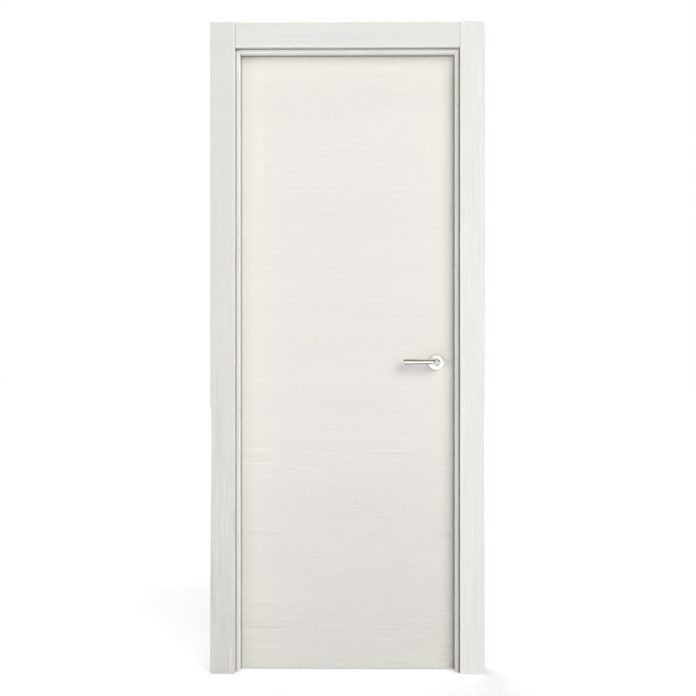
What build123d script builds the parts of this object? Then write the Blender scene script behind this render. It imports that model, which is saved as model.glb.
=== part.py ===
"""Flush solid core interior door set: rebated frame, architraves on both sides, leaf, hinges, latch and levers.

Millimetres, +Z up. X runs along the wall from the hinge jamb's wall face, Y is the way the leaf opens,
with zero at mid depth of the frame, and Z is zero at floor level.
"""

import os

from build123d import *

# Leaf
leaf_width = 725.0
leaf_height = 2030.0
leaf_thickness = 35.0
skin_thickness = 4.0
lipping_width = 10.0
leaf_edge_round = 1.5

# Gaps round the leaf; its front corner swings out by about 1.3 mm on the lock side
hinge_gap = 5.0
lock_gap = 6.5
head_gap = 5.0
floor_gap = 5.0

# Frame section
rebate_width = 16.5
jamb_back = 20.0
stop_depth = 30.0
seal_gap = 5.0
stop_front_round = 3.0
stop_back_round = 1.0

# Architraves
architrave_width = 80.0
architrave_thickness = 12.0
architrave_edge_round = 2.0
front_lip = 14.5
back_lip = 6.0
front_stand_off = 8.0
head_step = 2.0
head_joint_gap = 1.0
tongue_thickness = 5.0
tongue_length = 20.0
tongue_offset = 3.0
tongue_seat = 4.0
tongue_seat_clearance = 0.1
groove_clearance = 0.2
groove_relief = 1.0
quirk_width = 3.0
quirk_depth = 8.0

# Seals
seal_stem_thickness = 3.0
seal_stem_length = 7.0
seal_bulb_width = 12.0
seal_wall = 0.9
seal_from_stop = 4.5
seal_showing = 3.0
seal_leaf_clearance = 0.4
seal_floor_clearance = 3.0

# Hinges
hinge_count = 3
hinge_length = 90.0
hinge_from_leaf_end = 200.0
knuckle_count = 3
flap_thickness = 2.5
flap_width = 28.0
flap_corner_radius = 8.0
knuckle_radius = 6.5
knuckle_clearance = 0.4
pin_offset = 8.5
pin_radius = 3.0
pin_fit = 0.05
pin_cap_radius = 5.0
pin_cap_height = 4.0
mortise_clearance = 0.2

# Screw holes of the flaps and plates
screw_radius = 2.2
screw_head_radius = 4.0
countersink_angle = 90.0
flap_screw_inset = 14.0
flap_screw_near = 9.5
flap_screw_far = 18.5
plate_screw_inset = 11.0

# Latch
handle_height = 1013.0
backset = 70.0
faceplate_height = 170.0
faceplate_width = 20.0
faceplate_thickness = 3.0
faceplate_rise = 15.0
case_height = 90.0
case_thickness = 14.0
case_past_spindle = 22.0
case_clearance = 0.3
bolt_height = 28.0
bolt_thickness = 12.0
bolt_depth = 18.0
bolt_rise = 30.0
bolt_edge_round = 1.5
strike_height = 100.0
strike_width = 24.0
strike_thickness = 2.0
strike_corner_radius = 6.0
strike_hole_margin = 2.0
strike_pocket_depth = 13.0

# Levers
rose_radius = 26.0
rose_thickness = 9.0
rose_edge_round = 2.5
rose_bore_clearance = 0.3
neck_radius = 11.5
neck_start = 1.0
neck_end_round = 4.5
neck_past_bar = 1.0
lever_reach = 110.0
lever_stand_off = 40.0
lever_depth = 14.0
lever_rise = 2.2
lever_root_height = 17.0
lever_tip_height = 20.5
lever_tip_round = 4.0
lever_root_round = 2.0
spindle_width = 8.0
spindle_depth = 24.0
spindle_fit = 0.1
spindle_bore_radius = 9.0
follower_bore_radius = 7.0

# Frame places
jamb_thickness = rebate_width + jamb_back
frame_depth = stop_depth + seal_gap + leaf_thickness
frame_front = -frame_depth / 2
frame_back = frame_depth / 2
shoulder_y = frame_front + stop_depth
frame_width = leaf_width + hinge_gap + lock_gap + 2 * jamb_back
hinge_stop_x = jamb_thickness
lock_stop_x = frame_width - jamb_thickness
stop_height = floor_gap + leaf_height + head_gap - rebate_width
frame_height = stop_height + jamb_thickness
front_wall_y = frame_front - front_stand_off
tongue_inset = tongue_offset + tongue_thickness / 2

# Leaf places
leaf_hinge_x = jamb_back + hinge_gap
leaf_lock_x = leaf_hinge_x + leaf_width
leaf_front = shoulder_y + seal_gap
leaf_back = leaf_front + leaf_thickness
leaf_middle = (leaf_front + leaf_back) / 2
core_hinge_x = leaf_hinge_x + lipping_width
core_lock_x = leaf_lock_x - lipping_width
core_width = core_lock_x - core_hinge_x

# Hinge places
pin_x = jamb_back + hinge_gap / 2
pin_y = leaf_back + pin_offset
hinge_low = floor_gap + hinge_from_leaf_end
hinge_high = floor_gap + leaf_height - hinge_from_leaf_end
hinge_step = (hinge_high - hinge_low) / (hinge_count - 1)
hinge_names = ["bottom", "middle", "top"]
hinge_heights = [hinge_low + hinge_step * i for i in range(hinge_count)]
knuckle_length = (hinge_length - (knuckle_count - 1) * knuckle_clearance) / knuckle_count
knuckle_step = knuckle_length + knuckle_clearance

# Latch and lever places
spindle_x = leaf_lock_x - backset
faceplate_z = handle_height + faceplate_rise
bolt_z = handle_height + bolt_rise
case_x = spindle_x - case_past_spindle
lock_rebate_x = frame_width - jamb_back
neck_length = lever_stand_off + lever_depth / 2 + neck_past_bar - neck_start

# One plane for each frame member: local x runs from the stop face to the wall, local y along the depth
hinge_plane = Plane(origin=(hinge_stop_x, 0, 0), x_dir=(-1, 0, 0), z_dir=(0, 0, -1))
lock_plane = Plane(origin=(lock_stop_x, 0, 0), x_dir=(1, 0, 0), z_dir=(0, 0, 1))
head_plane = Plane(origin=(frame_width, 0, stop_height), x_dir=(0, 0, 1), z_dir=(-1, 0, 0))
hinge_mitre = Plane(origin=(hinge_stop_x, 0, stop_height), z_dir=(1, 0, 1))
lock_mitre = Plane(origin=(lock_stop_x, 0, stop_height), z_dir=(-1, 0, 1))


def save(piece, name):
    """Label one finished sub-part and write its STEP file."""
    piece.part.label = name
    export_step(piece.part, f"parts/{name}.step")


def across(x, facing):
    """Plane square to X at the given place: local x is Y, and local y is Z, or -Z when it faces -X."""
    return Plane(origin=(x, 0, 0), x_dir=(0, 1, 0), z_dir=(facing, 0, 0))


def groove(section_x, face_y, width, depth):
    """Groove cut square into one edge of the frame section, towards +Y where the depth is positive."""
    with Locations((section_x, face_y + depth / 2)):
        Rectangle(width, abs(depth), mode=Mode.SUBTRACT)


def frame_section(plane):
    """Rebated section shared by both jambs and the head, with grooves for tongues and seal and a quirk."""
    with BuildSketch(plane) as section:
        with BuildLine():
            Polyline(
                (0, frame_front),
                (jamb_thickness, frame_front),
                (jamb_thickness, frame_back),
                (rebate_width, frame_back),
                (rebate_width, shoulder_y),
                (0, shoulder_y),
                close=True,
            )
        make_face()
        fillet(section.vertices().group_by(Axis.X)[0].sort_by(Axis.Y)[0], stop_front_round)
        fillet(section.vertices().group_by(Axis.X)[0].sort_by(Axis.Y)[-1], stop_back_round)
        tongue_groove = tongue_thickness + 2 * groove_clearance
        front_depth = tongue_length - front_stand_off + groove_relief
        groove(front_lip + tongue_inset, frame_front, tongue_groove, front_depth)
        back_depth = tongue_length + groove_relief
        groove(rebate_width + back_lip + tongue_inset, frame_back, tongue_groove, -back_depth)
        stem_groove = seal_stem_thickness + 2 * groove_clearance
        groove(seal_from_stop, shoulder_y, stem_groove, -(seal_stem_length + groove_relief))
        groove(front_lip - quirk_width / 2, frame_front, quirk_width, quirk_depth)
    return section.sketch


def seal_section(plane):
    """Stem in the stop's groove and a flat hollow bulb that shows past the stop and meets the leaf."""
    bulb_height = seal_gap - seal_leaf_clearance
    with BuildSketch(plane) as section:
        with Locations((seal_bulb_width / 2 - seal_showing, shoulder_y + bulb_height / 2)):
            SlotOverall(seal_bulb_width, bulb_height)
        with Locations((seal_from_stop, shoulder_y - seal_stem_length / 2)):
            Rectangle(seal_stem_thickness, seal_stem_length)
        with Locations((seal_bulb_width / 2 - seal_showing, shoulder_y + bulb_height / 2)):
            SlotOverall(seal_bulb_width - 2 * seal_wall, bulb_height - 2 * seal_wall, mode=Mode.SUBTRACT)
    return section.sketch


def flap_outline(plane, height, growth):
    """Outline of a hinge flap in its mortise, with round corners on the side away from the pin."""
    width = flap_width + growth
    with BuildSketch(plane) as outline:
        with Locations(plane.to_local_coords(Vector(plane.origin.X, leaf_back - width / 2, height))):
            Rectangle(width, hinge_length + 2 * growth)
        inner_corners = outline.vertices().sort_by(Axis.X)[:2]
        fillet(inner_corners, flap_corner_radius + growth)
    return outline.sketch


def plate_outline(plane, width, height, middle, radius):
    """Upright plate with round corners, centred on the leaf's thickness."""
    with BuildSketch(plane) as outline:
        with Locations(plane.to_local_coords(Vector(plane.origin.X, leaf_middle, middle))):
            RectangleRounded(width, height, radius)
    return outline.sketch


def screw_holes(x, facing, places, thickness):
    """Countersunk holes at (y, z) places in a plate whose open face lies at x."""
    for y, z in places:
        with Locations(Plane(origin=(x, y, z), z_dir=(facing, 0, 0))):
            CounterSinkHole(screw_radius, screw_head_radius, thickness, countersink_angle)


def flap_screws(height):
    """Three staggered screw places on one hinge flap."""
    near = leaf_back - flap_screw_near
    far = leaf_back - flap_screw_far
    reach = hinge_length / 2 - flap_screw_inset
    return [(near, height - reach), (far, height), (near, height + reach)]


def plate_screws(middle, height):
    """One screw place near each end of an upright plate."""
    reach = height / 2 - plate_screw_inset
    return [(leaf_middle, middle - reach), (leaf_middle, middle + reach)]


os.makedirs("parts", exist_ok=True)

# Frame
with BuildPart() as hinge_jamb:
    extrude(frame_section(hinge_plane), amount=-frame_height)
    split(bisect_by=hinge_mitre, keep=Keep.BOTTOM)
    for z in hinge_heights:
        pocket = flap_outline(across(jamb_back, 1), z, mortise_clearance)
        extrude(pocket, amount=-flap_thickness, mode=Mode.SUBTRACT)
save(hinge_jamb, "hinge_jamb")

with BuildPart() as lock_jamb:
    extrude(frame_section(lock_plane), amount=frame_height)
    split(bisect_by=lock_mitre, keep=Keep.BOTTOM)
    strike_seat = plate_outline(
        across(lock_rebate_x, -1),
        strike_width + 2 * mortise_clearance,
        strike_height + 2 * mortise_clearance,
        bolt_z,
        strike_corner_radius + mortise_clearance,
    )
    extrude(strike_seat, amount=-strike_thickness, mode=Mode.SUBTRACT)
    with BuildSketch(across(lock_rebate_x, 1)):
        with Locations((leaf_middle, bolt_z)):
            Rectangle(bolt_thickness + 2 * strike_hole_margin, bolt_height + 2 * strike_hole_margin)
    extrude(amount=strike_pocket_depth, mode=Mode.SUBTRACT)
save(lock_jamb, "lock_jamb")

with BuildPart() as frame_head:
    extrude(frame_section(head_plane), amount=frame_width)
    split(bisect_by=hinge_mitre, keep=Keep.TOP)
    split(bisect_by=lock_mitre, keep=Keep.TOP)
save(frame_head, "frame_head")

# Seals
with BuildPart() as hinge_seal:
    extrude(seal_section(hinge_plane.offset(-seal_floor_clearance)), amount=-frame_height)
    split(bisect_by=hinge_mitre, keep=Keep.BOTTOM)
save(hinge_seal, "hinge_seal")

with BuildPart() as lock_seal:
    extrude(seal_section(lock_plane.offset(seal_floor_clearance)), amount=frame_height)
    split(bisect_by=lock_mitre, keep=Keep.BOTTOM)
save(lock_seal, "lock_seal")

with BuildPart() as head_seal:
    extrude(seal_section(head_plane), amount=frame_width)
    split(bisect_by=hinge_mitre, keep=Keep.TOP)
    split(bisect_by=lock_mitre, keep=Keep.TOP)
save(head_seal, "head_seal")


def tongue_strip(plane, length):
    """Strip from the bottom of an architrave's seat to its end in the frame's groove."""
    with BuildPart() as strip:
        with BuildSketch(plane.offset(-tongue_seat)):
            Rectangle(length, tongue_thickness)
        extrude(amount=tongue_seat + tongue_length)
    return strip


def tongue_seat_cut(plane, length):
    """Sketch of the shallow groove in an architrave's back that the tongue is glued into."""
    with BuildSketch(plane) as seat:
        Rectangle(length, tongue_thickness + 2 * tongue_seat_clearance)
    return seat.sketch


def architrave_upright(inner_x, side, wall_y, out, top, tongue_plane, tongue_top):
    """Upright board from its inner edge towards the given side, with the seat of its tongue."""
    middle = (inner_x + side * architrave_width / 2, wall_y + out * architrave_thickness / 2)
    with BuildPart() as upright:
        with BuildSketch(Plane.XY):
            with Locations(middle):
                Rectangle(architrave_width, architrave_thickness)
        extrude(amount=top)
        face = upright.faces().sort_by(Axis.Y)[-1 if out > 0 else 0]
        eased = face.edges().sort_by(Axis.Z)[1:]
        fillet(eased, architrave_edge_round)
        extrude(tongue_seat_cut(tongue_plane, tongue_top), amount=-tongue_seat, mode=Mode.SUBTRACT)
    return upright


def architrave_head(inner_z, left_x, right_x, wall_y, out, tongue_plane):
    """Head board butted between two uprights, with the seat of its tongue."""
    length = right_x - left_x
    with BuildPart() as head:
        with BuildSketch(Plane(origin=(left_x, 0, inner_z), x_dir=(0, 1, 0), z_dir=(1, 0, 0))):
            with Locations((wall_y + out * architrave_thickness / 2, architrave_width / 2)):
                Rectangle(architrave_thickness, architrave_width)
        extrude(amount=length)
        face = head.faces().sort_by(Axis.Y)[-1 if out > 0 else 0]
        fillet(face.edges(), architrave_edge_round)
        extrude(tongue_seat_cut(tongue_plane, length), amount=-tongue_seat, mode=Mode.SUBTRACT)
    return head


# Architraves and their tongues, with local x along each tongue and the plane facing the frame
for name, wall_y, out, lip in (
    ("front", front_wall_y, -1, front_lip),
    ("back", frame_back, 1, rebate_width + back_lip),
):
    hinge_edge = hinge_stop_x - lip
    lock_edge = lock_stop_x + lip
    head_edge = stop_height + lip
    upright_top = head_edge + architrave_width + head_step
    for place, inner_x, side in (("hinge_side", hinge_edge, -1), ("lock_side", lock_edge, 1)):
        middle = (inner_x + side * tongue_inset, wall_y, head_edge / 2)
        seat_plane = Plane(origin=middle, x_dir=(0, 0, 1), z_dir=(0, -out, 0))
        upright = architrave_upright(inner_x, side, wall_y, out, upright_top, seat_plane, head_edge)
        save(upright, f"{name}_architrave_{place}")
        save(tongue_strip(seat_plane, head_edge), f"{name}_tongue_{place}")
    head_middle = ((hinge_edge + lock_edge) / 2, wall_y, head_edge + tongue_inset)
    head_seat = Plane(origin=head_middle, x_dir=(1, 0, 0), z_dir=(0, -out, 0))
    head_left = hinge_edge + head_joint_gap
    head_right = lock_edge - head_joint_gap
    save(architrave_head(head_edge, head_left, head_right, wall_y, out, head_seat), f"{name}_architrave_head")
    save(tongue_strip(head_seat, head_right - head_left), f"{name}_tongue_head")

# Leaf
with BuildPart() as leaf_core:
    with BuildSketch(Plane.XY.offset(floor_gap)):
        with Locations(((core_hinge_x + core_lock_x) / 2, leaf_middle)):
            Rectangle(core_width, leaf_thickness - 2 * skin_thickness)
    extrude(amount=leaf_height)
    with BuildSketch(across(case_x - case_clearance, 1)):
        with Locations((leaf_middle, faceplate_z)):
            Rectangle(case_thickness + 2 * case_clearance, case_height + 2 * case_clearance)
    extrude(amount=leaf_lock_x - case_x, mode=Mode.SUBTRACT)
    with BuildSketch(Plane(origin=(spindle_x, leaf_front, handle_height), z_dir=(0, 1, 0))):
        Circle(spindle_bore_radius)
    extrude(amount=leaf_thickness, mode=Mode.SUBTRACT)
save(leaf_core, "leaf_core")

for name, skin_y in (("leaf_front_skin", leaf_front), ("leaf_back_skin", leaf_back - skin_thickness)):
    with BuildPart() as skin:
        skin_middle = Vector((core_hinge_x + core_lock_x) / 2, skin_y, floor_gap + leaf_height / 2)
        with BuildSketch(Plane(origin=skin_middle, x_dir=(-1, 0, 0), z_dir=(0, 1, 0))):
            Rectangle(core_width, leaf_height)
        extrude(amount=skin_thickness)
        with BuildSketch(Plane(origin=(spindle_x, skin_y, handle_height), z_dir=(0, 1, 0))):
            Circle(spindle_bore_radius)
        extrude(amount=skin_thickness, mode=Mode.SUBTRACT)
    save(skin, name)

with BuildPart() as leaf_hinge_lipping:
    with BuildSketch(Plane.XY.offset(floor_gap)) as lipping_section:
        with Locations((leaf_hinge_x + lipping_width / 2, leaf_middle)):
            Rectangle(lipping_width, leaf_thickness)
        fillet(lipping_section.vertices().sort_by(Axis.X)[:2], leaf_edge_round)
    extrude(amount=leaf_height)
    for z in hinge_heights:
        pocket = flap_outline(across(leaf_hinge_x, -1), z, mortise_clearance)
        extrude(pocket, amount=-flap_thickness, mode=Mode.SUBTRACT)
save(leaf_hinge_lipping, "leaf_hinge_lipping")

with BuildPart() as leaf_lock_lipping:
    with BuildSketch(Plane.XY.offset(floor_gap)) as lipping_section:
        with Locations((leaf_lock_x - lipping_width / 2, leaf_middle)):
            Rectangle(lipping_width, leaf_thickness)
        fillet(lipping_section.vertices().sort_by(Axis.X)[-2:], leaf_edge_round)
    extrude(amount=leaf_height)
    faceplate_seat = plate_outline(
        across(leaf_lock_x, 1),
        faceplate_width + 2 * mortise_clearance,
        faceplate_height + 2 * mortise_clearance,
        faceplate_z,
        faceplate_width / 2,
    )
    extrude(faceplate_seat, amount=-faceplate_thickness, mode=Mode.SUBTRACT)
    with BuildSketch(across(core_lock_x, 1)):
        with Locations((leaf_middle, faceplate_z)):
            Rectangle(case_thickness + 2 * case_clearance, case_height + 2 * case_clearance)
    extrude(amount=lipping_width, mode=Mode.SUBTRACT)
save(leaf_lock_lipping, "leaf_lock_lipping")


def hinge_flap(face_x, facing, height, knuckle_places):
    """Flap whose open face lies at face_x, with arms to the pin and knuckles round it."""
    with BuildPart() as flap:
        extrude(flap_outline(across(face_x, facing), height, 0), amount=-flap_thickness)
        for place in knuckle_places:
            with BuildSketch(across(face_x, facing)):
                arm_y = leaf_back + pin_offset / 2
                with Locations((arm_y, facing * (height + place))):
                    Rectangle(pin_offset, knuckle_length)
            extrude(amount=-flap_thickness)
            with BuildSketch(Plane(origin=(pin_x, pin_y, height + place - knuckle_length / 2))):
                Circle(knuckle_radius)
            extrude(amount=knuckle_length)
        with BuildSketch(Plane(origin=(pin_x, pin_y, height - hinge_length / 2))):
            Circle(pin_radius + pin_fit)
        extrude(amount=hinge_length, mode=Mode.SUBTRACT)
        screw_holes(face_x, facing, flap_screws(height), flap_thickness)
    return flap


def hinge_pin(height):
    """Straight pin with a round cap at each end."""
    with BuildPart() as pin:
        with BuildSketch(Plane(origin=(pin_x, pin_y, height - hinge_length / 2))):
            Circle(pin_radius)
        extrude(amount=hinge_length)
        for end in (-1, 1):
            with BuildSketch(Plane(origin=(pin_x, pin_y, height + end * hinge_length / 2))):
                Circle(pin_cap_radius)
            extrude(amount=end * pin_cap_height)
            rim = pin.edges().filter_by(GeomType.CIRCLE).sort_by(Axis.Z)[-1 if end > 0 else 0]
            fillet(rim, pin_cap_height / 2)
    return pin


# Hinges
for name, z in zip(hinge_names, hinge_heights):
    frame_flap = hinge_flap(jamb_back, 1, z, (-knuckle_step, knuckle_step))
    save(frame_flap, f"{name}_hinge_frame_flap")
    leaf_flap = hinge_flap(leaf_hinge_x, -1, z, (0,))
    save(leaf_flap, f"{name}_hinge_leaf_flap")
    save(hinge_pin(z), f"{name}_hinge_pin")

# Latch
with BuildPart() as mortise_latch:
    plate = plate_outline(
        across(leaf_lock_x, 1),
        faceplate_width,
        faceplate_height,
        faceplate_z,
        faceplate_width / 2 - mortise_clearance,
    )
    extrude(plate, amount=-faceplate_thickness)
    with BuildSketch(across(case_x, 1)):
        with Locations((leaf_middle, faceplate_z)):
            Rectangle(case_thickness, case_height)
    extrude(amount=leaf_lock_x - faceplate_thickness - case_x)
    with BuildSketch(across(leaf_lock_x - bolt_depth - case_clearance, 1)):
        with Locations((leaf_middle, bolt_z)):
            Rectangle(bolt_thickness + 2 * case_clearance, bolt_height + 2 * case_clearance)
    extrude(amount=bolt_depth + case_clearance, mode=Mode.SUBTRACT)
    with BuildSketch(Plane(origin=(spindle_x, leaf_front, handle_height), z_dir=(0, 1, 0))):
        Circle(follower_bore_radius)
    extrude(amount=leaf_thickness, mode=Mode.SUBTRACT)
    screw_holes(leaf_lock_x, 1, plate_screws(faceplate_z, faceplate_height), faceplate_thickness)
save(mortise_latch, "mortise_latch")

with BuildPart() as latch_bolt:
    with BuildSketch(across(leaf_lock_x - bolt_depth, 1)):
        with Locations((leaf_middle, bolt_z)):
            Rectangle(bolt_thickness, bolt_height)
    extrude(amount=bolt_depth)
    fillet(latch_bolt.faces().sort_by(Axis.X)[-1].edges(), bolt_edge_round)
save(latch_bolt, "latch_bolt")

with BuildPart() as strike_plate:
    plate = plate_outline(
        across(lock_rebate_x, -1),
        strike_width,
        strike_height,
        bolt_z,
        strike_corner_radius,
    )
    extrude(plate, amount=-strike_thickness)
    with BuildSketch(across(lock_rebate_x, 1)):
        with Locations((leaf_middle, bolt_z)):
            Rectangle(bolt_thickness + 2 * strike_hole_margin, bolt_height + 2 * strike_hole_margin)
    extrude(amount=strike_thickness, mode=Mode.SUBTRACT)
    screw_holes(lock_rebate_x, -1, plate_screws(bolt_z, strike_height), strike_thickness)
save(strike_plate, "strike_plate")


def rose(face_y, out):
    """Round rose on one face of the leaf, bored for the lever's neck."""
    with BuildPart() as disc:
        with BuildSketch(Plane(origin=(spindle_x, face_y, handle_height), z_dir=(0, out, 0))):
            Circle(rose_radius)
            Circle(neck_radius + rose_bore_clearance, mode=Mode.SUBTRACT)
        extrude(amount=rose_thickness)
        outer_face = disc.faces().sort_by(Axis.Y)[-1 if out > 0 else 0]
        fillet(outer_face.edges().sort_by(SortBy.LENGTH)[-1], rose_edge_round)
    return disc


def lever(face_y, out):
    """Lever on one face of the leaf: a round neck and a straight oval bar that swells to its tip."""
    bar_y = face_y + out * lever_stand_off
    with BuildPart() as handle:
        neck_foot = (spindle_x, face_y + out * neck_start, handle_height)
        with BuildSketch(Plane(origin=neck_foot, z_dir=(0, out, 0))):
            Circle(neck_radius)
        extrude(amount=neck_length)
        crown = handle.edges().sort_by(Axis.Y)[-1 if out > 0 else 0]
        fillet(crown, neck_end_round)
        for reach, height in ((0, lever_root_height), (lever_reach, lever_tip_height)):
            origin = (spindle_x - reach, bar_y, handle_height + lever_rise)
            with BuildSketch(Plane(origin=origin, x_dir=(0, 1, 0), z_dir=(-1, 0, 0))):
                Ellipse(lever_depth / 2, height / 2)
        loft()
        root = handle.edges(Select.LAST).filter_by(GeomType.BSPLINE).sort_by(SortBy.LENGTH)[:-1]
        fillet(root, lever_root_round)
        tip = handle.faces().sort_by(Axis.X)[0]
        fillet(tip.edges(), lever_tip_round)
        with BuildSketch(Plane(origin=neck_foot, z_dir=(0, out, 0))):
            Rectangle(spindle_width + 2 * spindle_fit, spindle_width + 2 * spindle_fit)
        extrude(amount=spindle_depth, mode=Mode.SUBTRACT)
    return handle


# Roses, levers and their spindle
for name, face_y, out in (("front", leaf_front, -1), ("back", leaf_back, 1)):
    save(rose(face_y, out), f"{name}_rose")
    save(lever(face_y, out), f"{name}_lever")

with BuildPart() as spindle:
    with BuildSketch(Plane(origin=(spindle_x, leaf_front - spindle_depth, handle_height), z_dir=(0, 1, 0))):
        Rectangle(spindle_width, spindle_width)
    extrude(amount=leaf_thickness + 2 * spindle_depth)
save(spindle, "spindle")
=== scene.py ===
"""Finishes, screws and studio for a white solid core interior door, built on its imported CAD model."""

import math

import bpy
from bpy.props import FloatProperty, FloatVectorProperty, IntProperty, PointerProperty
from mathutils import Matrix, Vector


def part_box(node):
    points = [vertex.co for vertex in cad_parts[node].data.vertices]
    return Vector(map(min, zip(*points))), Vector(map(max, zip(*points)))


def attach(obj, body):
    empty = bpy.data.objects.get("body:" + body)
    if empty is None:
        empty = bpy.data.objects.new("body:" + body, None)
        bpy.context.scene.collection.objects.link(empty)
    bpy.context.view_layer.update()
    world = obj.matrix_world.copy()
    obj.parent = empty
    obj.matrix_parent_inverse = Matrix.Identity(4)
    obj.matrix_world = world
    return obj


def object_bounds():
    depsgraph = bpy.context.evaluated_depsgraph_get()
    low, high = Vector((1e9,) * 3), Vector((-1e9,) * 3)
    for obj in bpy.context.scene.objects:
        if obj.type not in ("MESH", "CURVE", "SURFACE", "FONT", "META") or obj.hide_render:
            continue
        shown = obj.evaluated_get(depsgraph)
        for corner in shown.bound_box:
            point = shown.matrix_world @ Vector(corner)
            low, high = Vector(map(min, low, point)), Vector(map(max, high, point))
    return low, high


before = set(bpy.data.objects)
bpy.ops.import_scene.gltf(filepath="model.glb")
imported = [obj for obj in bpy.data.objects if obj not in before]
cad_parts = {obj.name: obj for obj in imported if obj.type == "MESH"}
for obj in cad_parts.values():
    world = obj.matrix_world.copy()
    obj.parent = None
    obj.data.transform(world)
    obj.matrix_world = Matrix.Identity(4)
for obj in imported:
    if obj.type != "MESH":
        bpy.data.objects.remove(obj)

bl_info = {
    "name": "White interior door",
    "version": (1, 0, 0),
    "blender": (4, 5, 0),
    "location": "View3D > Sidebar > Door",
    "description": "Finishes, screws and studio for a solid core interior door",
    "category": "Object",
}

CAD_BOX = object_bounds()
PHOTO_SIZE = 696
MM = 0.001
WHITE = (1, 1, 1, 1)
BLACK = (0, 0, 0, 1)


def tint(red, green, blue):
    """Linear colour of an 8-bit sRGB one."""
    shares = (channel / 255 for channel in (red, green, blue))
    return tuple(s / 12.92 if s <= 0.04045 else ((s + 0.055) / 1.055) ** 2.4 for s in shares)


def colour_property(label, about, default):
    """Colour that a user may change."""
    return FloatVectorProperty(name=label, description=about, subtype="COLOR", min=0, max=1, default=default)


def length_property(label, about, default):
    """Length that a user may change."""
    return FloatProperty(name=label, description=about, unit="LENGTH", min=0, default=default)


def power_property(label, about, default):
    """Power of a light that a user may change."""
    return FloatProperty(name=label, description=about, unit="POWER", min=0, default=default)


class DoorFinish(bpy.types.PropertyGroup):
    """Laminates, boards and seals."""

    leaf_colour: colour_property("Leaf", "Laminate of the leaf", tint(236, 233, 228))
    hinge_board_colour: colour_property("Hinge side", "Architrave beside the hinges", tint(225, 223, 219))
    lock_board_colour: colour_property("Lock side", "Architrave beside the latch", tint(236, 235, 231))
    head_board_colour: colour_property("Head", "Architrave over the leaf", tint(231, 230, 226))
    frame_colour: colour_property("Frame", "Laminate of the jambs and frame head", tint(236, 235, 231))
    board_colour: colour_property("Fibreboard", "Bare board towards the wall", tint(176, 150, 118))
    chip_colour: colour_property("Chipboard", "Core at the leaf's ends", tint(190, 160, 120))
    seal_colour: colour_property("Seal", "Rubber seal in the stop", tint(150, 149, 142))
    grain_tone: FloatProperty(
        name="Grain tone", description="Contrast of the printed grain", min=0, default=0.145
    )
    grain_depth: length_property("Grain depth", "Depth of the pressed grain", 0.4 * MM)


class DoorHardware(bpy.types.PropertyGroup):
    """Hinges, latch, levers and screws."""

    nickel_colour: colour_property("Nickel", "Levers and roses", tint(249, 248, 244))
    hinge_colour: colour_property("Hinge steel", "Flaps and pins", tint(205, 204, 200))
    plate_colour: colour_property("Plate steel", "Latch, strike plate and spindle", tint(198, 198, 197))
    screw_colour: colour_property("Screw steel", "Screws", tint(190, 190, 188))
    screw_head_radius: length_property("Screw head", "Radius of a countersunk head", 3.9 * MM)
    screw_shank_radius: length_property("Screw shank", "Radius under the head", 2.1 * MM)
    screw_slot_width: length_property("Slot width", "Width of the cross recess", 1.0 * MM)
    screw_slot_depth: length_property("Slot depth", "Depth of the cross recess", 1.2 * MM)
    screw_seed: IntProperty(name="Seed", description="Turns the screws differently", min=0, default=7)


class DoorStudio(bpy.types.PropertyGroup):
    """Camera, light and floor."""

    camera_place: FloatVectorProperty(
        name="Camera",
        description="Place of the camera",
        subtype="TRANSLATION",
        unit="LENGTH",
        default=(0.4212, -3.571, 1.060),
    )
    camera_turn: FloatProperty(
        name="Turn",
        description="Camera's turn to the hinge side",
        subtype="ANGLE",
        unit="ROTATION",
        default=math.radians(0.507),
    )
    focal_pixels: FloatProperty(
        name="Focal length", description="Focal length in picture pixels", subtype="PIXEL", default=1082.5
    )
    key_power: power_property("Key light", "Power of the large soft light", 1835)
    fill_power: power_property("Fill light", "Power of the light from the hinge side", 360)
    side_power: power_property("Side lights", "Power of each light at the wall's ends", 180)
    back_power: power_property("Back light", "Power of the light behind the door", 1800)
    sky_level: FloatProperty(name="Sky level", description="Even light from all round", default=0.03)
    floor_glow: FloatProperty(
        name="Floor glow", description="Lift that turns the pale floor white", default=0.9
    )
    floor_colour: colour_property("Floor", "Plain pale floor", (0.85, 0.85, 0.85))


class Nodes:
    """Node tree, with short calls that add and join its nodes."""

    def __init__(self, tree):
        self.tree = tree

    def put(self, socket, value):
        """Join a node's output to a socket, or set the socket to a plain value."""
        if isinstance(value, bpy.types.NodeSocket):
            self.tree.links.new(value, socket)
        else:
            socket.default_value = value

    def add(self, kind, inputs, **settings):
        """New node with its settings and inputs."""
        node = self.tree.nodes.new(kind)
        for key, value in settings.items():
            setattr(node, key, value)
        for key, value in inputs.items():
            self.put(node.inputs[key], value)
        return node

    def calc(self, kind, first, second=0.0, third=0.0):
        """Result of a Math node."""
        return self.add("ShaderNodeMath", {0: first, 1: second, 2: third}, operation=kind).outputs[0]

    def between(self, share, low, high):
        """Level from low at a share of 0 to high at a share of 1."""
        return self.calc("MULTIPLY_ADD", share, high - low, low)

    def distance(self, first, second):
        """Distance from an axis, out of the two places across it."""
        squares = [self.calc("POWER", place, 2.0) for place in (first, second)]
        return self.calc("SQRT", self.calc("ADD", *squares))

    def vector(self, x, y, z):
        """Vector of three values."""
        return self.add("ShaderNodeCombineXYZ", {"X": x, "Y": y, "Z": z}).outputs[0]

    def seen(self):
        """1 on rays that show a thing, straight or in metal and glass, and 0 on rays that it lights with."""
        path = self.add("ShaderNodeLightPath", {}).outputs
        shown = self.calc("MAXIMUM", path["Is Camera Ray"], path["Is Glossy Ray"])
        return self.calc("MAXIMUM", shown, path["Is Transmission Ray"])


# Sockets of a Mix node that hold colours
MIX_INPUTS = (6, 7)
MIX_OUTPUT = 2

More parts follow.
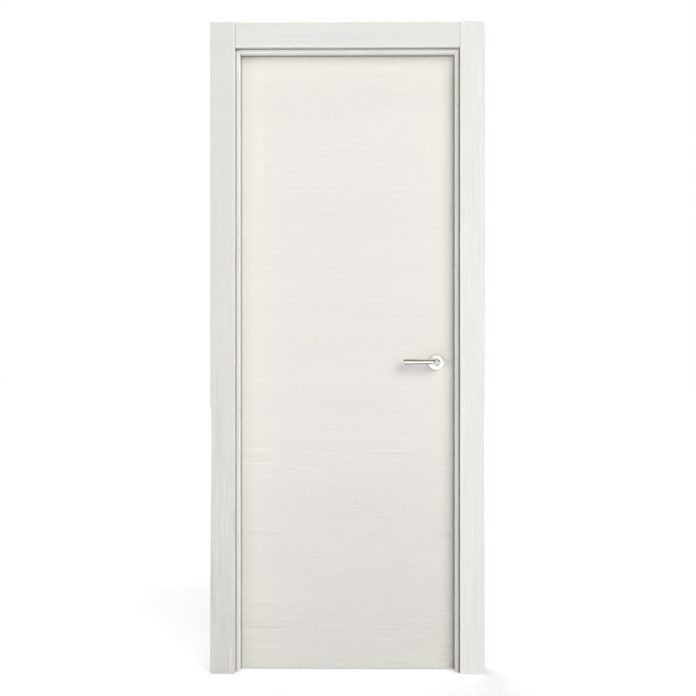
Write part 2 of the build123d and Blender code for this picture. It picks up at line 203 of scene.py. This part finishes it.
# Least share of a normal along an axis at which a face counts as facing that way
FACING_LIMIT = 0.9


class Finish(Nodes):
    """One new material, with the patterns that its surface is made of."""

    def __init__(self, name):
        self.material = bpy.data.materials.new(name)
        self.material.use_nodes = True
        super().__init__(self.material.node_tree)
        self.surface = self.tree.nodes["Principled BSDF"]

    def paint(self, inputs):
        """Set the surface's inputs."""
        for key, value in inputs.items():
            self.put(self.surface.inputs[key], value)

    def bump(self, height, distance):
        """Raise the surface by a height pattern."""
        inputs = {"Height": height, "Distance": distance, "Strength": 1.0}
        self.paint({"Normal": self.add("ShaderNodeBump", inputs).outputs["Normal"]})

    def places(self):
        """The piece's own X, Y and Z."""
        coordinates = self.add("ShaderNodeTexCoord", {}).outputs["Object"]
        return self.add("ShaderNodeSeparateXYZ", {0: coordinates}).outputs[:]

    def stretched(self, places, length, width, shift=0.0):
        """Place for a pattern whose marks are about that long and wide."""
        along, across, depth = places
        return self.vector(
            self.calc("MULTIPLY_ADD", along, 1 / length, shift),
            self.calc("MULTIPLY", across, 1 / width),
            self.calc("MULTIPLY", depth, 1 / width),
        )

    def noise(self, place, detail):
        """Smooth noise from 0 to 1 at a place."""
        inputs = {"Vector": place, "Scale": 1.0, "Detail": detail}
        return self.add("ShaderNodeTexNoise", inputs).outputs["Fac"]

    def pattern(self, places, marks, shift=0.0):
        """Smooth noise in marks of a length, a width, a detail and a shift of their own."""
        length, width, detail, own_shift = marks
        return self.noise(self.stretched(places, length, width, shift + own_shift), detail)

    def swayed(self, value, pattern, reach):
        """Value moved up and down by a pattern from 0 to 1."""
        return self.calc("MULTIPLY_ADD", self.calc("SUBTRACT", pattern, 0.5), reach, value)

    def ramp(self, value, low, high):
        """Smooth step from 0 at low to 1 at high."""
        inputs = {"Value": value, "From Min": low, "From Max": high}
        return self.add("ShaderNodeMapRange", inputs, interpolation_type="SMOOTHSTEP").outputs[0]

    def curve(self, value, points):
        """Level read from a list of (place, level) points, with straight runs between them."""
        node = self.add("ShaderNodeValToRGB", {0: value})
        stops = node.color_ramp.elements
        while len(stops) < len(points):
            stops.new(0.5)
        for stop, (place, level) in zip(stops, points):
            stop.position = place
            stop.color = (level, level, level, 1)
        return node.outputs["Color"]

    def shaded(self, colour, level):
        """Colour times a level."""
        inputs = {0: tuple(colour), "Scale": level}
        return self.add("ShaderNodeVectorMath", inputs, operation="SCALE").outputs["Vector"]

    def mixed(self, share, first, second):
        """Colour between two others."""
        colours = dict(zip(MIX_INPUTS, (first, second)))
        node = self.add("ShaderNodeMix", {"Factor": share, **colours}, data_type="RGBA")
        return node.outputs[MIX_OUTPUT]

    def facing(self, axis, sign):
        """1 where the surface faces along an axis of the piece."""
        normal = self.add("ShaderNodeTexCoord", {}).outputs["Normal"]
        share = self.add("ShaderNodeSeparateXYZ", {0: normal}).outputs["XYZ".index(axis)]
        return self.calc("GREATER_THAN", self.calc("MULTIPLY", share, sign), FACING_LIMIT)

    def past(self, axis, sign, limit):
        """1 where the piece lies past a limit along an axis."""
        place = self.places()["XYZ".index(axis)]
        return self.calc("GREATER_THAN", self.calc("MULTIPLY", place, sign), limit * sign)


# Heights up a piece, as shares of this reach, for the strength of its grain and for its painted shade and
# light
GRAIN_REACH = 2.1
LEAF_GRAIN = (
    (0.00, 0.35), (0.05, 0.90), (0.10, 1.00), (0.125, 0.15), (0.18, 0.25), (0.187, 0.95), (0.207, 0.95),
    (0.220, 0.85), (0.232, 0.35), (0.252, 0.75), (0.262, 0.15), (0.305, 0.20), (0.315, 0.95), (0.345, 0.95),
    (0.36, 0.12), (0.68, 0.08), (0.70, 0.30), (0.745, 0.30), (0.76, 0.08), (0.81, 0.30), (0.825, 0.30),
    (0.84, 0.10), (0.93, 0.30), (1.00, 0.15),
)
UPRIGHT_GRAIN = ((0.00, 1.00), (0.25, 0.85), (0.32, 0.45), (0.50, 0.50), (0.65, 0.25), (1.00, 0.20))
EVEN_GRAIN = ((0.00, 0.30), (1.00, 0.30))
# Painted shade and light by height, standing in for the lamps' falloff: the leaf darker towards its bottom
# and just under its top, the hinge side board darker towards its bottom, the lock side board lighter towards
# its bottom
LEAF_PAINTED_FALLOFF = (
    (0.00, 0.943), (0.20, 0.965), (0.30, 0.981), (0.36, 1.010), (0.60, 1.020), (0.85, 1.020), (1.00, 0.955),
)
HINGE_BOARD_PAINTED_FALLOFF = ((0.00, 0.955), (0.30, 1.000), (0.60, 1.035), (1.00, 1.030))
LOCK_BOARD_PAINTED_FALLOFF = ((0.00, 1.080), (0.30, 1.030), (0.60, 1.030), (1.00, 0.995))
NO_PAINTED_FALLOFF = ((0.00, 1.000), (1.00, 1.000))

# Marks of the laminate, in metres: length along the grain, width across it, detail, a shift of their own
DRIFT_MARKS = (0.45, 0.11, 1.0, 0)
STREAK_MARKS = (0.22, 0.0052, 1.0, 0)
PATCH_MARKS = (0.30, 0.035, 1.0, 3)
FINE_MARKS = (0.05, 0.0012, 2.0, 0)
CLOUD_MARKS = (0.9, 0.10, 2.0, 7)

# How far the grain drifts aside, and where in the noise its pale lines, dark lines and patches set in
DRIFT_WIDTH = 12 * MM
PALE_LINES = (0.60, 0.72)
DARK_LINES = (0.40, 0.28)
LYING_PATCHES = (0.42, 0.60)
UPRIGHT_PATCHES = (0.25, 0.45)

# Contrast of the fine grain and the clouds, the fine grain's share of the depth, and the laminate's gloss
FINE_CONTRAST = 0.02
CLOUD_CONTRAST = 0.05
FINE_DEPTH = 0.08
LAMINATE_ROUGHNESS = (0.42, 0.54)
LAMINATE_SPECULAR = 0.35

# Bare fibreboard towards the wall
FIBRE_MARKS = (0.004, 0.002, 3.0, 0)
FIBRE_SHADE = (0.85, 1.15)

# Painted highlight: a paler strip along an inner edge, standing in for light caught on the rounded edge; and
# the line where the frame's members meet
PAINTED_HIGHLIGHT_WIDTH = 3.3 * MM
PAINTED_HIGHLIGHT_LIFT = 0.16
MITRE_LINE = 0.7 * MM
MITRE_SHADE = 0.55

# Shift of the grain along each piece, so that no two are alike
GRAIN_SHIFT = {
    "leaf_skin": 0,
    "leaf_lipping": 5,
    "hinge_jamb": 11,
    "lock_jamb": 13,
    "frame_head": 17,
    "front_architrave_hinge_side": 26,
    "front_architrave_lock_side": 29,
    "front_architrave_head": 32,
    "back_architrave_hinge_side": 44,
    "back_architrave_lock_side": 47,
    "back_architrave_head": 50,
}


def laminate(
    name, colour, lies, density, shift, tone=NO_PAINTED_FALLOFF, edge=None, bare=None, wrap=None, mitred=False
):
    """White laminate with a fine pressed grain, painted shade and light by height, a painted highlight along
    an edge, and bare on the wall side past its wrap.
    """
    settings = bpy.context.scene.door_finish
    finish = Finish(name)
    x, y, z = finish.places()
    along, side = (x, z) if lies else (z, x)
    across = finish.calc("ADD", side, y)
    drift = finish.pattern((along, across, y), DRIFT_MARKS, shift)
    grain = (along, finish.swayed(across, drift, DRIFT_WIDTH), y)
    streak = finish.pattern(grain, STREAK_MARKS, shift)
    lines = finish.calc("SUBTRACT", finish.ramp(streak, *PALE_LINES), finish.ramp(streak, *DARK_LINES))
    limits = LYING_PATCHES if lies else UPRIGHT_PATCHES
    patches = finish.ramp(finish.pattern(grain, PATCH_MARKS, shift), *limits)
    height = finish.calc("DIVIDE", z, GRAIN_REACH)
    strength = finish.calc("MULTIPLY", patches, finish.curve(height, density))
    marks = finish.calc("MULTIPLY", lines, strength)
    fine = finish.pattern(grain, FINE_MARKS, shift)
    cloud = finish.pattern(grain, CLOUD_MARKS, shift)
    shade = finish.calc("MULTIPLY_ADD", marks, settings.grain_tone, 1.0)
    shade = finish.swayed(shade, fine, FINE_CONTRAST)
    shade = finish.swayed(shade, cloud, CLOUD_CONTRAST)
    # Painted shade and light: the curve darkens or lightens the laminate by height as the light's falloff
    # would
    shade = finish.calc("MULTIPLY", shade, finish.curve(height, tone))
    # Painted highlight: lightens the strip along the inner edge as if light caught it
    if edge:
        painted_highlight_mask = finish.calc("MULTIPLY", finish.past(*edge), shade)
        shade = finish.calc("MULTIPLY_ADD", painted_highlight_mask, PAINTED_HIGHLIGHT_LIFT, shade)
    if mitred:
        low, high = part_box("frame_head")
        aside = finish.calc("ABSOLUTE", finish.calc("SUBTRACT", x, (low.x + high.x) / 2))
        meeting = high.z - (high.x - low.x) / 2
        joint = finish.calc("COMPARE", finish.calc("SUBTRACT", z, aside), meeting, MITRE_LINE)
        shade = finish.calc("MULTIPLY", shade, finish.between(joint, 1.0, MITRE_SHADE))
    base = finish.shaded(colour, shade)
    if bare:
        fibres = finish.pattern((x, z, y), FIBRE_MARKS)
        board = finish.shaded(settings.board_colour, finish.between(fibres, *FIBRE_SHADE))
        share = finish.facing(*bare)
        if wrap:
            share = finish.calc("MULTIPLY", share, finish.past(*wrap))
        base = finish.mixed(share, base, board)
    finish.paint({
        "Base Color": base,
        "Roughness": finish.between(fine, *LAMINATE_ROUGHNESS),
        "Specular IOR Level": LAMINATE_SPECULAR,
    })
    finish.bump(finish.calc("MULTIPLY_ADD", fine, FINE_DEPTH, marks), settings.grain_depth)
    return finish.material


# Chips of the core with their length and width, and the dust between them
CHIP_SIZE = (0.006, 0.0025)
CHIP_CONTRAST = 0.5
CHIP_DEPTH = 0.3 * MM
CHIP_ROUGHNESS = 0.9
DUST_MARKS = (0.001, 0.001, 2.0, 0)
DUST_SHADE = (0.55, 0.95)


def chipboard():
    """Pressed chips of the leaf's core, seen at its two ends."""
    finish = Finish("core_chipboard")
    places = finish.places()
    inputs = {"Vector": finish.stretched(places, *CHIP_SIZE), "Scale": 1.0, "Randomness": 1.0}
    chips = finish.add("ShaderNodeTexVoronoi", inputs).outputs["Color"]
    tone = finish.add("ShaderNodeSeparateColor", {0: chips}).outputs[0]
    dust = finish.pattern(places, DUST_MARKS)
    level = finish.calc("MULTIPLY_ADD", tone, CHIP_CONTRAST, finish.between(dust, *DUST_SHADE))
    colour = finish.shaded(bpy.context.scene.door_finish.chip_colour, level)
    finish.paint({"Base Color": colour, "Roughness": CHIP_ROUGHNESS})
    finish.bump(finish.calc("ADD", tone, dust), CHIP_DEPTH)
    return finish.material


# Skin of the rubber seals
RUBBER_MARKS = (0.002, 0.002, 3.0, 0)
RUBBER_SHADE = (0.92, 1.08)
RUBBER_ROUGHNESS = (0.5, 0.7)
RUBBER_DEPTH = 0.05 * MM


def rubber():
    """Soft grey rubber with a faint skin."""
    finish = Finish("seal_rubber_skin")
    skin = finish.pattern(finish.places(), RUBBER_MARKS)
    colour = finish.shaded(bpy.context.scene.door_finish.seal_colour, finish.between(skin, *RUBBER_SHADE))
    finish.paint({"Base Color": colour, "Roughness": finish.between(skin, *RUBBER_ROUGHNESS)})
    finish.bump(skin, RUBBER_DEPTH)
    return finish.material


# Roughness of each metal, and how long its brushed lines are along X, Y and Z
METALS = {
    "hinge_flap_steel": (0.34, (0.0004, 0.0004, 0.03)),
    "hinge_pin_steel": (0.26, (0.003, 0.003, 0.0004)),
    "lever_nickel": (0.24, (0.02, 0.0006, 0.0006)),
    "rose_nickel": (0.16, (0.015, 0.0006, 0.0006)),
    "plate_steel_brushed": (0.34, (0.0004, 0.0004, 0.03)),
    "bolt_steel": (0.24, (0.01, 0.0005, 0.0005)),
    "screw_steel": (0.30, (0.0008, 0.0008, 0.0008)),
}

# What the lines do to a metal's colour, roughness and surface
LINE_DETAIL = 3.0
LINE_SHADE = (0.95, 1.05)
LINE_ROUGHNESS = 0.08
LINE_DEPTH = 0.02 * MM

# Turned end of a lever's neck, duller than the bar
BOSS_RADIUS = 10.5 * MM
BOSS_SHADE = 0.72


def brushed(name, colour, boss=None):
    """Metal with fine brushed lines, duller on a boss whose axis has the given X and Z."""
    roughness, lengths = METALS[name]
    finish = Finish(name)
    places = finish.places()
    scaled = [finish.calc("DIVIDE", place, length) for place, length in zip(places, lengths)]
    lines = finish.noise(finish.vector(*scaled), LINE_DETAIL)
    shade = finish.between(lines, *LINE_SHADE)
    if boss:
        x, _, z = places
        middle_x, middle_z = boss
        radius = finish.distance(finish.calc("SUBTRACT", x, middle_x), finish.calc("SUBTRACT", z, middle_z))
        dull = finish.calc("LESS_THAN", radius, BOSS_RADIUS)
        shade = finish.calc("MULTIPLY", shade, finish.between(dull, 1.0, BOSS_SHADE))
    finish.paint({
        "Base Color": finish.shaded(colour, shade),
        "Metallic": 1.0,
        "Roughness": finish.between(lines, roughness - LINE_ROUGHNESS, roughness + LINE_ROUGHNESS),
    })
    finish.bump(lines, LINE_DEPTH)
    return finish.material


def dress(material, *names):
    """Give CAD nodes a material."""
    for name in names:
        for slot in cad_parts[name].material_slots:
            slot.link = "OBJECT"
            slot.material = material


class DOOR_OT_leaf(bpy.types.Operator):
    """Dress the leaf's skins, lippings and core"""

    bl_idname = "door.leaf"
    bl_label = "Leaf"

    def execute(self, context):
        colour = context.scene.door_finish.leaf_colour
        # The skins get painted shade, darker towards the bottom and just under the top
        skin = laminate("leaf_laminate_grain", colour, True, LEAF_GRAIN, GRAIN_SHIFT["leaf_skin"], LEAF_PAINTED_FALLOFF)
        dress(skin, "leaf_front_skin", "leaf_back_skin")
        edge = laminate("lipping_laminate_grain", colour, False, EVEN_GRAIN, GRAIN_SHIFT["leaf_lipping"])
        dress(edge, "leaf_hinge_lipping", "leaf_lock_lipping")
        dress(chipboard(), "leaf_core")
        return {"FINISHED"}


class DOOR_OT_frame(bpy.types.Operator):
    """Dress the jambs, the frame head and the seals"""

    bl_idname = "door.frame"
    bl_label = "Frame"

    def execute(self, context):
        colour = context.scene.door_finish.frame_colour
        hinge_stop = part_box("hinge_jamb")[1].x
        lock_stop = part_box("lock_jamb")[0].x
        head_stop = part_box("frame_head")[0].z
        # Each member's edge gives where its painted highlight strip starts
        for name, lies, edge, bare in (
            ("hinge_jamb", False, ("X", 1, hinge_stop - PAINTED_HIGHLIGHT_WIDTH), ("X", -1)),
            ("lock_jamb", False, ("X", -1, lock_stop + PAINTED_HIGHLIGHT_WIDTH), ("X", 1)),
            ("frame_head", True, ("Z", -1, head_stop + PAINTED_HIGHLIGHT_WIDTH), ("Z", 1)),
        ):
            material = laminate(
                f"{name}_laminate",
                colour,
                lies,
                EVEN_GRAIN,
                GRAIN_SHIFT[name],
                edge=edge,
                bare=bare,
                mitred=True,
            )
            dress(material, name)
        dress(rubber(), "hinge_seal", "lock_seal", "head_seal")
        return {"FINISHED"}


class DOOR_OT_architraves(bpy.types.Operator):
    """Dress the architraves and their tongues on both sides of the wall"""

    bl_idname = "door.architraves"
    bl_label = "Architraves"

    def execute(self, context):
        finish = context.scene.door_finish
        frame_low, frame_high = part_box("frame_head")
        # Each board: colour, grain, painted shade and light by height, and where its inner edge and wrap lie
        boards = (
            ("hinge_side", finish.hinge_board_colour, UPRIGHT_GRAIN, HINGE_BOARD_PAINTED_FALLOFF, "X", -1, frame_low.x),
            ("lock_side", finish.lock_board_colour, EVEN_GRAIN, LOCK_BOARD_PAINTED_FALLOFF, "X", 1, frame_high.x),
            ("head", finish.head_board_colour, EVEN_GRAIN, NO_PAINTED_FALLOFF, "Z", 1, frame_high.z),
        )
        for side, wall in (("front", 1), ("back", -1)):
            for place, colour, grain, tone, axis, sign, limit in boards:
                board = f"{side}_architrave_{place}"
                inner = getattr(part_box(board)[0 if sign > 0 else 1], axis.lower())
                material = laminate(
                    f"{board}_laminate",
                    colour,
                    axis == "Z",
                    grain,
                    GRAIN_SHIFT[board],
                    tone,
                    # Strip along the inner edge that gets the painted highlight
                    edge=(axis, -sign, inner + sign * PAINTED_HIGHLIGHT_WIDTH),
                    bare=("Y", wall),
                    wrap=(axis, sign, limit),
                )
                dress(material, board, f"{side}_tongue_{place}")
        return {"FINISHED"}


class DOOR_OT_hinges(bpy.types.Operator):
    """Dress the hinge flaps and pins"""

    bl_idname = "door.hinges"
    bl_label = "Hinges"

    def execute(self, context):
        colour = context.scene.door_hardware.hinge_colour
        flaps = [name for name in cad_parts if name.endswith("_flap")]
        pins = [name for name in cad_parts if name.endswith("_pin")]
        dress(brushed("hinge_flap_steel", colour), *flaps)
        dress(brushed("hinge_pin_steel", colour), *pins)
        return {"FINISHED"}


class DOOR_OT_handles(bpy.types.Operator):
    """Dress the levers, roses, spindle, latch and strike plate"""

    bl_idname = "door.handles"
    bl_label = "Levers and latch"

    def execute(self, context):
        hardware = context.scene.door_hardware
        low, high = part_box("spindle")
        boss = ((low.x + high.x) / 2, (low.z + high.z) / 2)
        dress(brushed("lever_nickel", hardware.nickel_colour, boss), "front_lever", "back_lever")
        dress(brushed("rose_nickel", hardware.nickel_colour), "front_rose", "back_rose")
        plate = brushed("plate_steel_brushed", hardware.plate_colour)
        dress(plate, "mortise_latch", "strike_plate", "spindle")
        dress(brushed("bolt_steel", hardware.plate_colour), "latch_bolt")
        return {"FINISHED"}


# Screws of a flap, from the leaf's back face and from the hinge's middle, and of a plate, from its ends
FLAP_SCREWS = ((9.5 * MM, -31 * MM), (18.5 * MM, 0), (9.5 * MM, 31 * MM))
PLATE_SCREW_INSET = 11 * MM

# Sides of a screw's head, and the cross recess's length in head radii
SCREW_SIDES = 32
SLOT_LENGTH = 1.25

# Inputs of the screws' tree, each with the kind of its socket
SCREW_INPUTS = {
    "Places": "NodeSocketGeometry",
    "Head radius": "NodeSocketFloat",
    "Shank radius": "NodeSocketFloat",
    "Slot width": "NodeSocketFloat",
    "Slot depth": "NodeSocketFloat",
    "Seed": "NodeSocketInt",
    "Steel": "NodeSocketMaterial",
}


def screw_tree():
    """Geometry Nodes that put a cross-recessed countersunk screw on each point, flush with its face."""
    tree = bpy.data.node_groups.new("countersunk_screws", "GeometryNodeTree")
    for label, kind in SCREW_INPUTS.items():
        tree.interface.new_socket(label, in_out="INPUT", socket_type=kind)
    tree.interface.new_socket("Screws", in_out="OUTPUT", socket_type="NodeSocketGeometry")
    nodes = Nodes(tree)
    given = nodes.add("NodeGroupInput", {}).outputs

    head = given["Head radius"]
    shank = given["Shank radius"]
    fall = nodes.calc("SUBTRACT", head, shank)
    inputs = {"Vertices": SCREW_SIDES, "Radius Top": head, "Radius Bottom": shank, "Depth": fall}
    cone = nodes.add("GeometryNodeMeshCone", inputs).outputs["Mesh"]
    sunk = nodes.vector(0, 0, nodes.calc("MULTIPLY", fall, -1))
    cone = nodes.add("GeometryNodeTransform", {"Geometry": cone, "Translation": sunk}).outputs[0]

    width = given["Slot width"]
    length = nodes.calc("MULTIPLY", head, SLOT_LENGTH)
    twice = nodes.calc("MULTIPLY", given["Slot depth"], 2)
    recess = nodes.add("GeometryNodeMeshBoolean", {}, operation="UNION")
    for first, second in ((length, width), (width, length)):
        arm = nodes.add("GeometryNodeMeshCube", {"Size": nodes.vector(first, second, twice)})
        nodes.put(recess.inputs["Mesh 2"], arm.outputs["Mesh"])
    inputs = {"Mesh 1": cone, "Mesh 2": recess.outputs["Mesh"]}
    screw = nodes.add("GeometryNodeMeshBoolean", inputs, operation="DIFFERENCE").outputs["Mesh"]

    facing = nodes.add("GeometryNodeInputNamedAttribute", {"Name": "facing"}, data_type="FLOAT_VECTOR")
    inputs = {"Vector": facing.outputs["Attribute"]}
    turned = nodes.add("FunctionNodeAlignRotationToVector", inputs, axis="Z").outputs[0]
    inputs = {"Min": 0.0, "Max": math.pi / 2, "Seed": given["Seed"]}
    chance = nodes.add("FunctionNodeRandomValue", inputs, data_type="FLOAT")
    angle = [socket for socket in chance.outputs if socket.enabled][0]
    spin = nodes.add("FunctionNodeAxisAngleToRotation", {"Axis": (0, 0, 1), "Angle": angle}).outputs[0]
    inputs = {"Rotation": turned, "Rotate By": spin}
    rotation = nodes.add("FunctionNodeRotateRotation", inputs, rotation_space="LOCAL").outputs[0]

    inputs = {"Points": given["Places"], "Instance": screw, "Rotation": rotation}
    copies = nodes.add("GeometryNodeInstanceOnPoints", inputs).outputs[0]
    real = nodes.add("GeometryNodeRealizeInstances", {"Geometry": copies}).outputs[0]
    steel = nodes.add("GeometryNodeSetMaterial", {"Geometry": real, "Material": given["Steel"]}).outputs[0]
    nodes.add("NodeGroupOutput", {"Screws": steel})
    return tree


def screw_places():
    """Screw places and the way each faces, by body, read from the boxes of the pieces round them."""
    places = {"frame": [], "leaf": []}
    leaf_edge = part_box("leaf_hinge_lipping")[0].x
    leaf_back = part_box("leaf_back_skin")[1].y
    for hinge in ("bottom", "middle", "top"):
        low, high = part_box(f"{hinge}_hinge_pin")
        middle = (low.z + high.z) / 2
        rebate = low.x + high.x - leaf_edge
        for body, x, facing in (("frame", rebate, 1), ("leaf", leaf_edge, -1)):
            for y, z in FLAP_SCREWS:
                places[body].append(((x, leaf_back - y, middle + z), (facing, 0, 0)))
    for body, node, facing in (("leaf", "mortise_latch", 1), ("frame", "strike_plate", -1)):
        low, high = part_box(node)
        x = high.x if facing > 0 else low.x
        for z in (low.z + PLATE_SCREW_INSET, high.z - PLATE_SCREW_INSET):
            places[body].append(((x, (low.y + high.y) / 2, z), (facing, 0, 0)))
    return places


class DOOR_OT_screws(bpy.types.Operator):
    """Put the countersunk screws in the hinge flaps, the face plate and the strike plate"""

    bl_idname = "door.screws"
    bl_label = "Screws"

    def execute(self, context):
        hardware = context.scene.door_hardware
        tree = screw_tree()
        values = {
            "Head radius": hardware.screw_head_radius,
            "Shank radius": hardware.screw_shank_radius,
            "Slot width": hardware.screw_slot_width,
            "Slot depth": hardware.screw_slot_depth,
            "Seed": hardware.screw_seed,
            "Steel": brushed("screw_steel", hardware.screw_colour),
        }
        for body, places in screw_places().items():
            mesh = bpy.data.meshes.new(f"{body}_screws")
            mesh.from_pydata([place for place, _ in places], [], [])
            facing = mesh.attributes.new("facing", "FLOAT_VECTOR", "POINT")
            for point, (_, way) in zip(facing.data, places):
                point.vector = way
            screws = bpy.data.objects.new(f"{body}_screws", mesh)
            context.scene.collection.objects.link(screws)
            maker = screws.modifiers.new("screws", "NODES")
            maker.node_group = tree
            for item in tree.interface.items_tree:
                if item.name in values:
                    maker[item.identifier] = values[item.name]
            context.view_layer.update()
            made = bpy.data.meshes.new_from_object(screws.evaluated_get(context.evaluated_depsgraph_get()))
            screws.modifiers.clear()
            screws.data = made
            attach(screws, body)
        return {"FINISHED"}


# Soft lights: name, place, size, and the setting that holds the power
LIGHTS = (
    ("key_light", (7.2, -12, 8.2), 10.8, "key_power"),
    ("fill_light", (-7.0, -8.0, 0.5), 4.0, "fill_power"),
    ("back_light", (-5.0, 12, 7.4), 10.8, "back_power"),
    ("hinge_side_light", (-12.0, 2.5, 4.0), 5.0, "side_power"),
    ("lock_side_light", (12.8, 2.5, 4.0), 5.0, "side_power"),
)

# Half the floor's side, and the share of its glow by distance, lower near the door so that its shadow stays
FLOOR_REACH = 30
FLOOR_ROUGHNESS = 0.9
GLOW_REACH = 10
GLOW_SHARES = ((0.00, 0.50), (0.12, 0.50), (0.55, 1.00), (1.00, 1.00))

# Cards that only metal reflects: the overhead one's level changes with distance, and the others are dark
CARD_TINT = (1.0, 0.98, 0.81, 1)
CARD_DARK = 0.12
OVERHEAD_LEVELS = ((0.00, 0.95), (0.012, 0.60), (0.03, 0.14), (0.073, 0.24), (0.42, 0.43), (1.00, 0.72))
OVERHEAD_HEIGHT = 2.2
OVERHEAD_REACH = 27
OVERHEAD_SPAN = (-20, 20)
FLOOR_CARD_REACH = 0.9
FLOOR_CARD_SPAN = (-1, 2)
SIDE_CARD_REACH = 14
SIDE_CARD_PLACE = -3


def soft_light(name, place, size, power):
    """Square soft light aimed at the middle of the door."""
    lamp = bpy.data.lights.new(name, "AREA")
    lamp.size = size
    lamp.energy = power
    light = bpy.data.objects.new(name, lamp)
    light.location = place
    low, high = CAD_BOX
    aim = (low + high) / 2 - light.location
    light.rotation_euler = aim.to_track_quat("-Z", "Y").to_euler()
    light.visible_glossy = False
    bpy.context.scene.collection.objects.link(light)


def level_corners(left, right, reach, z):
    """Corners of a level sheet that reaches as far before the door as behind it."""
    return [(left, -reach, z), (right, -reach, z), (right, reach, z), (left, reach, z)]


def stage_sheet(name, corners, material):
    """Flat sheet of the studio."""
    mesh = bpy.data.meshes.new(name)
    mesh.from_pydata(corners, [], [(0, 1, 2, 3)])
    mesh.materials.append(material)
    sheet = bpy.data.objects.new(name, mesh)
    bpy.context.scene.collection.objects.link(sheet)
    return sheet


def reflected_card(name, corners, graded=False):
    """Sheet that shows in reflections alone."""
    finish = Finish(name)
    level = CARD_DARK
    if graded:
        away = finish.calc("DIVIDE", finish.calc("ABSOLUTE", finish.places()[1]), OVERHEAD_REACH)
        level = finish.curve(away, OVERHEAD_LEVELS)
    finish.paint({
        "Base Color": BLACK,
        "Specular IOR Level": 0.0,
        "Emission Color": CARD_TINT,
        "Emission Strength": level,
    })
    card = stage_sheet(name, corners, finish.material)
    card.visible_camera = False
    card.visible_diffuse = False
    card.visible_shadow = False


def pale_floor(studio):
    """Matte floor that shows white, and less so near the door."""
    finish = Finish("pale_floor")
    x, y, _ = finish.places()
    share = finish.curve(finish.calc("DIVIDE", finish.distance(x, y), GLOW_REACH), GLOW_SHARES)
    glow = finish.calc("MULTIPLY", share, studio.floor_glow)
    finish.paint({
        "Base Color": (*studio.floor_colour, 1),
        "Roughness": FLOOR_ROUGHNESS,
        "Emission Color": WHITE,
        "Emission Strength": finish.calc("MULTIPLY", finish.seen(), glow),
    })
    return finish.material


class DOOR_OT_studio(bpy.types.Operator):
    """Set the camera, the soft lights, the white background and the pale floor"""

    bl_idname = "door.studio"
    bl_label = "Studio"

    def execute(self, context):
        studio = context.scene.door_studio
        scene = context.scene
        scene.view_settings.view_transform = "Standard"

        lens = bpy.data.cameras.new("photo_camera")
        lens.sensor_fit = "HORIZONTAL"
        lens.lens = lens.sensor_width * studio.focal_pixels / PHOTO_SIZE
        camera = bpy.data.objects.new("photo_camera", lens)
        camera.location = studio.camera_place
        camera.rotation_euler = (math.pi / 2, 0, studio.camera_turn)
        scene.collection.objects.link(camera)
        scene.camera = camera

        for name, place, size, power in LIGHTS:
            soft_light(name, place, size, getattr(studio, power))

        scene.world = bpy.data.worlds.new("studio_surround")
        scene.world.use_nodes = True
        surround = Nodes(scene.world.node_tree)
        background = surround.tree.nodes["Background"]
        surround.put(background.inputs["Color"], WHITE)
        surround.put(background.inputs["Strength"], surround.between(surround.seen(), studio.sky_level, 1.0))

        floor = level_corners(-FLOOR_REACH, FLOOR_REACH, FLOOR_REACH, 0)
        stage_sheet("studio_floor", floor, pale_floor(studio))

        top = OVERHEAD_HEIGHT
        reflected_card("overhead_card", level_corners(*OVERHEAD_SPAN, OVERHEAD_REACH, top), graded=True)
        reflected_card("floor_card", level_corners(*FLOOR_CARD_SPAN, FLOOR_CARD_REACH, MM))
        x, y = SIDE_CARD_PLACE, SIDE_CARD_REACH
        reflected_card("side_card", [(x, -y, MM), (x, y, MM), (x, y, top), (x, -y, top)])
        return {"FINISHED"}


OPERATORS = (
    DOOR_OT_studio,
    DOOR_OT_leaf,
    DOOR_OT_frame,
    DOOR_OT_architraves,
    DOOR_OT_hinges,
    DOOR_OT_handles,
    DOOR_OT_screws,
)


class DOOR_PT_panel(bpy.types.Panel):
    """Settings and steps of the door"""

    bl_idname = "DOOR_PT_panel"
    bl_label = "Interior door"
    bl_space_type = "VIEW_3D"
    bl_region_type = "UI"
    bl_category = "Door"

    def draw(self, context):
        for operator in OPERATORS:
            self.layout.operator(operator.bl_idname)
        for group in (context.scene.door_finish, context.scene.door_hardware, context.scene.door_studio):
            box = self.layout.box()
            for name in group.__annotations__:
                box.prop(group, name)


CLASSES = (DoorFinish, DoorHardware, DoorStudio, *OPERATORS, DOOR_PT_panel)


def register():
    """Register the classes and give the scene its settings."""
    for item in CLASSES:
        bpy.utils.register_class(item)
    bpy.types.Scene.door_finish = PointerProperty(type=DoorFinish)
    bpy.types.Scene.door_hardware = PointerProperty(type=DoorHardware)
    bpy.types.Scene.door_studio = PointerProperty(type=DoorStudio)


def unregister():
    """Take the settings and the classes away again."""
    del bpy.types.Scene.door_studio
    del bpy.types.Scene.door_hardware
    del bpy.types.Scene.door_finish
    for item in reversed(CLASSES):
        bpy.utils.unregister_class(item)


def main():
    """Dress the whole door."""
    register()
    bpy.ops.door.studio()
    bpy.ops.door.leaf()
    bpy.ops.door.frame()
    bpy.ops.door.architraves()
    bpy.ops.door.hinges()
    bpy.ops.door.handles()
    bpy.ops.door.screws()


if __name__ == "__main__":
    main()
